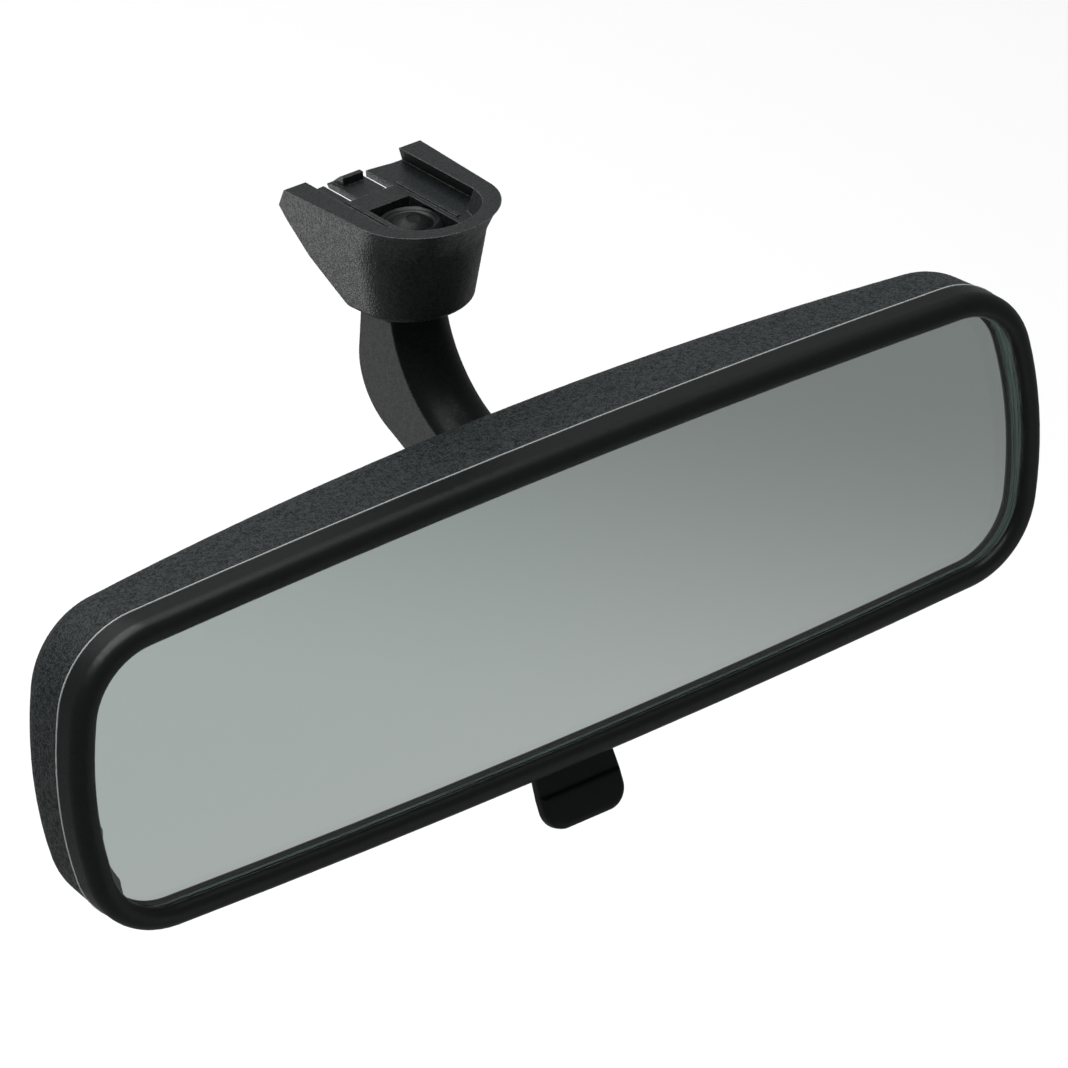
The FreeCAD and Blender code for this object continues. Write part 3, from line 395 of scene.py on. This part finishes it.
def silver():
    """The silver behind the glass, flaked away in small bites along its left end."""
    material, nodes, links, out = new_material("silver_coating")
    shader = nodes.new("ShaderNodeBsdfPrincipled")
    shader.inputs["Metallic"].default_value = 1.0
    shader.inputs["Roughness"].default_value = 0.015
    links.new(shader.outputs[0], out.inputs["Surface"])
    low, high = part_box("prism_glass")
    middle = (low + high) / 2
    place = nodes.new("ShaderNodeTexCoord")
    away = nodes.new("ShaderNodeVectorMath")
    away.operation = "SUBTRACT"
    away.inputs[1].default_value = (low.x + END_ARC, middle.y, middle.z)
    links.new(place.outputs["Object"], away.inputs[0])
    leftward = nodes.new("ShaderNodeVectorMath")
    leftward.operation = "MINIMUM"
    leftward.inputs[1].default_value = (0, 1, 1)
    links.new(away.outputs[0], leftward.inputs[0])
    reach = nodes.new("ShaderNodeVectorMath")
    reach.operation = "LENGTH"
    links.new(leftward.outputs[0], reach.inputs[0])
    noise = nodes.new("ShaderNodeTexNoise")
    noise.inputs["Scale"].default_value = FLAKE_SCALE
    noise.inputs["Detail"].default_value = 3
    links.new(place.outputs["Object"], noise.inputs["Vector"])
    ragged = nodes.new("ShaderNodeMath")
    ragged.operation = "MULTIPLY_ADD"
    ragged.inputs[1].default_value = FLAKE_DEPTH
    links.new(noise.outputs["Fac"], ragged.inputs[0])
    links.new(reach.outputs["Value"], ragged.inputs[2])
    gone = nodes.new("ShaderNodeMath")
    gone.operation = "GREATER_THAN"
    gone.inputs[1].default_value = END_ARC - FLAKE_REACH + FLAKE_DEPTH / 2
    links.new(ragged.outputs[0], gone.inputs[0])
    mix = nodes.new("ShaderNodeMix")
    mix.data_type = "RGBA"
    mix.inputs["A"].default_value = SILVER_COLOUR
    mix.inputs["B"].default_value = BARE_COLOUR
    links.new(gone.outputs[0], mix.inputs["Factor"])
    links.new(mix.outputs["Result"], shader.inputs["Base Color"])
    return material


# ---- smoothed copies of the moulded parts ----


def welded(node):
    """A CAD node's faces in a new mesh, joined where they meet."""
    form = bmesh.new()
    form.from_mesh(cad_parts[node].data)
    bmesh.ops.remove_doubles(form, verts=form.verts, dist=WELD_GAP)
    bmesh.ops.dissolve_degenerate(form, edges=form.edges, dist=SLIVER_LENGTH)
    for layer in list(form.loops.layers.uv.values()):
        form.loops.layers.uv.remove(layer)
    return form


def skin(node, body, slot, material, form, sharp_deg=28):
    """Show a mesh in place of a CAD node, softly shaded and sharp only at real edges."""
    sharp = math.radians(sharp_deg)
    for face in form.faces:
        face.smooth = sharp_deg > 0
    for edge in form.edges:
        edge.smooth = len(edge.link_faces) == 2 and edge.calc_face_angle(0) < sharp
    mesh = bpy.data.meshes.new(node + "_skin")
    form.to_mesh(mesh)
    form.free()
    if "custom_normal" in mesh.attributes:
        mesh.attributes.remove(mesh.attributes["custom_normal"])
    mesh.materials.append(material)
    piece = bpy.data.objects.new(node + "_skin", mesh)
    bpy.context.scene.collection.objects.link(piece)
    if sharp_deg:
        even = piece.modifiers.new("even", "WEIGHTED_NORMAL")
        even.keep_sharp = True
    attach(piece, body)
    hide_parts(node)
    return piece


def plate(node, shift, arris):
    """A CAD node's plate with clean flat faces, moved back by shift, its edges ground by arris."""
    form = welded(node)
    bmesh.ops.dissolve_limit(
        form,
        angle_limit=FLAT_ANGLE,
        verts=form.verts,
        edges=form.edges,
        use_dissolve_boundaries=False,
    )
    bmesh.ops.translate(form, verts=form.verts, vec=(0, shift, 0))
    if arris:
        rims = [edge for edge in form.edges if edge.calc_face_angle(0) > RIM_ANGLE]
        bmesh.ops.bevel(form, geom=rims, offset=arris, segments=2, profile=0.5, affect="EDGES")
    return form


def outer_edge(node, depth):
    """The points of a node's outermost edge in the plane y = depth, in order round it."""
    form = welded(node)
    form.normal_update()
    low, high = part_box(node)
    middle = (Vector(low) + Vector(high)) / 2
    joined = {}
    for edge in form.edges:
        if len(edge.link_faces) != 2 or any(abs(v.co.y - depth) > RING_SLACK for v in edge.verts):
            continue
        away = (edge.verts[0].co + edge.verts[1].co) / 2 - middle
        faces = edge.link_faces
        flat = any(face.normal.y > BACK_FACING for face in faces)
        wall = any(abs(f.normal.y) < WALL_FACING and f.normal.dot(away) > 0 for f in faces)
        if flat and wall:
            for here, there in (edge.verts, reversed(edge.verts)):
                joined.setdefault(here, []).append(there)
    ring = [next(iter(joined))]
    while True:
        onward = [v for v in joined[ring[-1]] if v not in ring]
        if not onward:
            break
        ring.append(onward[0])
    points = [v.co.copy() for v in ring]
    form.free()
    return points


def make_parting_bead():
    """The bezel's back edge, a fine rounded bead painted light grey all round the case: a painted
    highlight for the light that edge catches.
    """
    curve = bpy.data.curves.new("parting_bead", "CURVE")
    curve.dimensions = "3D"
    curve.bevel_depth = BEAD_RADIUS
    curve.bevel_resolution = 3
    points = outer_edge("bezel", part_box("bezel")[1].y)
    spline = curve.splines.new("POLY")
    spline.points.add(len(points) - 1)
    for knot, point in zip(spline.points, points):
        knot.co = (*point, 1)
    spline.use_cyclic_u = True
    curve.materials.append(PAINTED_HIGHLIGHT)
    bead = bpy.data.objects.new("parting_bead", curve)
    bpy.context.scene.collection.objects.link(bead)
    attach(bead, "case")


def paint(node, material):
    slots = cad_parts[node].data.materials
    slots.clear()
    slots.append(material)


make_camera()
make_floor()
make_backdrop()
make_card()
make_world()
add_light("overhead", OVERHEAD_AT, OVERHEAD_AIM, OVERHEAD_SIZE, OVERHEAD_POWER)

# Each plastic: name, colour, roughness, grain, depth, speckle, wear_and_highlight, and where it
# differs from the usual, shine and soft.
SHELL = plastic(
    "shell_black", (0.0170, 0.0205, 0.0208), 0.46, 0.36 * MM, 0.09 * MM, 0.90, 0.15, shine=0.18
)
SHOE = plastic(
    "shoe_black", (0.0105, 0.0130, 0.0132), 0.36, 0.34 * MM, 0.06 * MM, 0.75, 0.60, shine=0.40
)
ARM = plastic(
    "arm_black", (0.0060, 0.0075, 0.0075), 0.36, 0.40 * MM, 0.012 * MM, 0.30, 0.10,
    shine=0.11, soft=0.8 * MM,
)
SATIN = plastic(
    "satin_black", (0.0046, 0.0056, 0.0056), 0.36, 0.45 * MM, 0.008 * MM, 0.20, 0.12, shine=0.27
)
LEVER = plastic(
    "lever_black", (0.0042, 0.0052, 0.0050), 0.34, 0.45 * MM, 0.01 * MM, 0.15, 0.05,
    shine=0.20, soft=0.9 * MM,
)
# The bead's light grey is a painted highlight on the bezel's back edge, not the plastic's own
# colour.
PAINTED_HIGHLIGHT = plastic("painted_highlight_grey", (0.38, 0.40, 0.40), 0.35, 0.4 * MM, 0.004 * MM, 0.1, 0.0, shine=0.5)
CARRIER = plastic("carrier_plastic", (0.045, 0.045, 0.045), 0.6, 0.6 * MM, 0.04 * MM, 0.12, 0.1)
ACETAL = plastic("acetal", (0.012, 0.013, 0.013), 0.4, 0.5 * MM, 0.006 * MM, 0.04, 0.0)
FOAM = plastic("foam", (0.03, 0.03, 0.03), 0.9, 0.5 * MM, 0.15 * MM, 0.3, 0.0)
BALL = plastic(
    "ball_steel", (0.006, 0.0075, 0.0075), 0.42, 0.4 * MM, 0.012 * MM, 0.5, 0.05, shine=0.14
)
ZINC = metal("zinc_steel", (0.60, 0.60, 0.58), 0.3, 0.08)
SPRING = metal("spring_steel", (0.42, 0.42, 0.42), 0.35, 0.1)

for name, body, slot, material in (
    ("back_shell", "case", "grained_black", SHELL),
    ("bezel", "case", "satin_black", SATIN),
    ("mount_shoe", "mount", "grained_black", SHOE),
    ("latch_tongue", "latch", "grained_black", SHOE),
    ("arm", "arm", "satin_black", ARM),
    ("toggle_lever", "lever", "satin_black", LEVER),
    ("upper_ball_stud", "arm", "ball_steel", BALL),
):
    skin(name, body, slot, material, welded(name))
make_sheen(("mount_shoe_skin", "latch_tongue_skin", "arm_skin"))
make_parting_bead()
glass = plate("prism_glass", 0, GLASS_ARRIS)
pane = skin("prism_glass", "case", "clear_glass", mirror_glass(), glass, 0)
pane.data.materials.append(ground_edge())
for face in pane.data.polygons:
    face.material_index = int(abs(face.normal.y) < SIDE_NORMAL)
coating = plate("silver_coating", COATING_GAP, 0)
skin("silver_coating", "case", "mirror_silver", silver(), coating, 0)

for name, material in (
    ("backing_pad", FOAM),
    ("tilt_carrier", CARRIER),
    ("retaining_ring", CARRIER),
    ("upper_ball_liner", ACETAL),
    ("upper_ball_cup", ACETAL),
    ("lower_ball_liner", ACETAL),
    ("lower_ball_cup", ACETAL),
    ("pressure_pad", ACETAL),
    ("lower_ball_stud", BALL),
    ("ring_screws", ZINC),
    ("flip_pins", ZINC),
    ("lever_pin", ZINC),
    ("crank_pin", ZINC),
    ("leaf_screws", ZINC),
    ("pressure_spring", SPRING),
    ("leaf_spring", SPRING),
):
    paint(name, material)

bpy.context.scene.view_settings.view_transform = "Standard"
